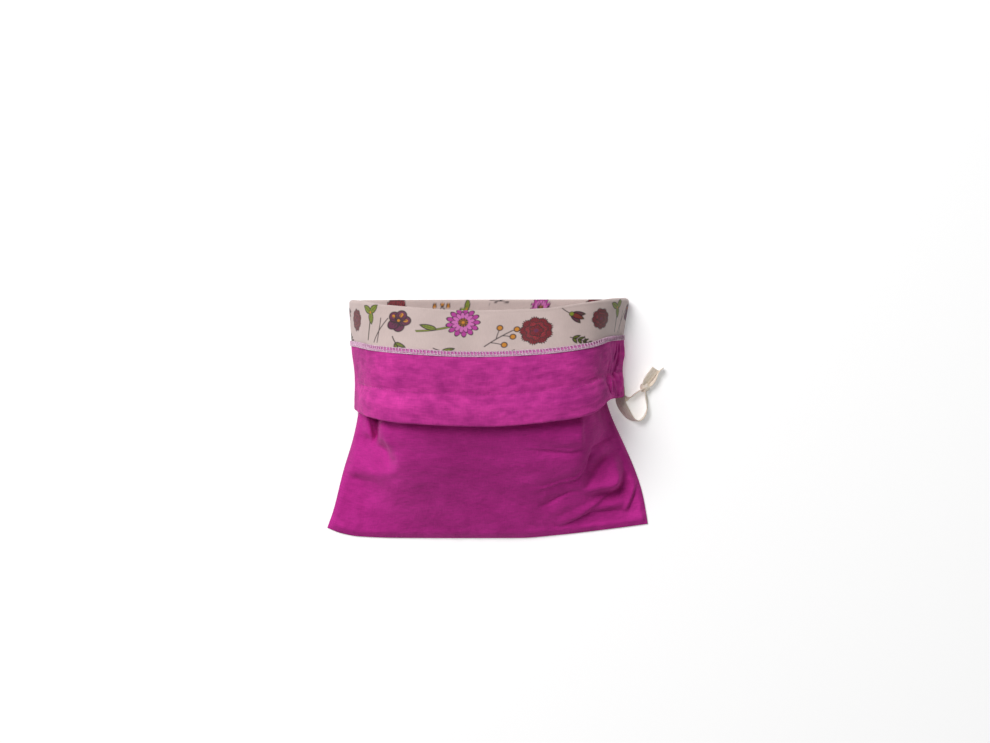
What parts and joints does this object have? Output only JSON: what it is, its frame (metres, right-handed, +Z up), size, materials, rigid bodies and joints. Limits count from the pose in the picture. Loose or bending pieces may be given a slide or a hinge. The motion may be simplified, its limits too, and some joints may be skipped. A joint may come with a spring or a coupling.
{
  "type": "bread bag",
  "caption": "Lined cloth bread bag with a drawstring, lying open on its back with its mouth turned down as a deep cuff that shows the printed lining and the pink hem.",
  "frame": {"origin": "on the surface that the bag lies on, under the middle of its width and length", "axes": "+X across the bag towards the side with the drawstring, +Y from its bottom seam to its mouth, +Z up"},
  "size_m": [0.3361, 0.24, 0.1135],
  "materials": {
    "outer_cloth": "matt magenta linen with a visible slubby weave",
    "lining_cloth": "smooth pale cotton with a botanical print",
    "cotton_tape": "matt natural twill tape"
  },
  "bodies": {
    "root": {"outer_front": "outer_cloth", "outer_back": "outer_cloth", "lining_front": "lining_cloth", "lining_back": "lining_cloth", "drawstring": "cotton_tape"}
  },
  "joints": []
}
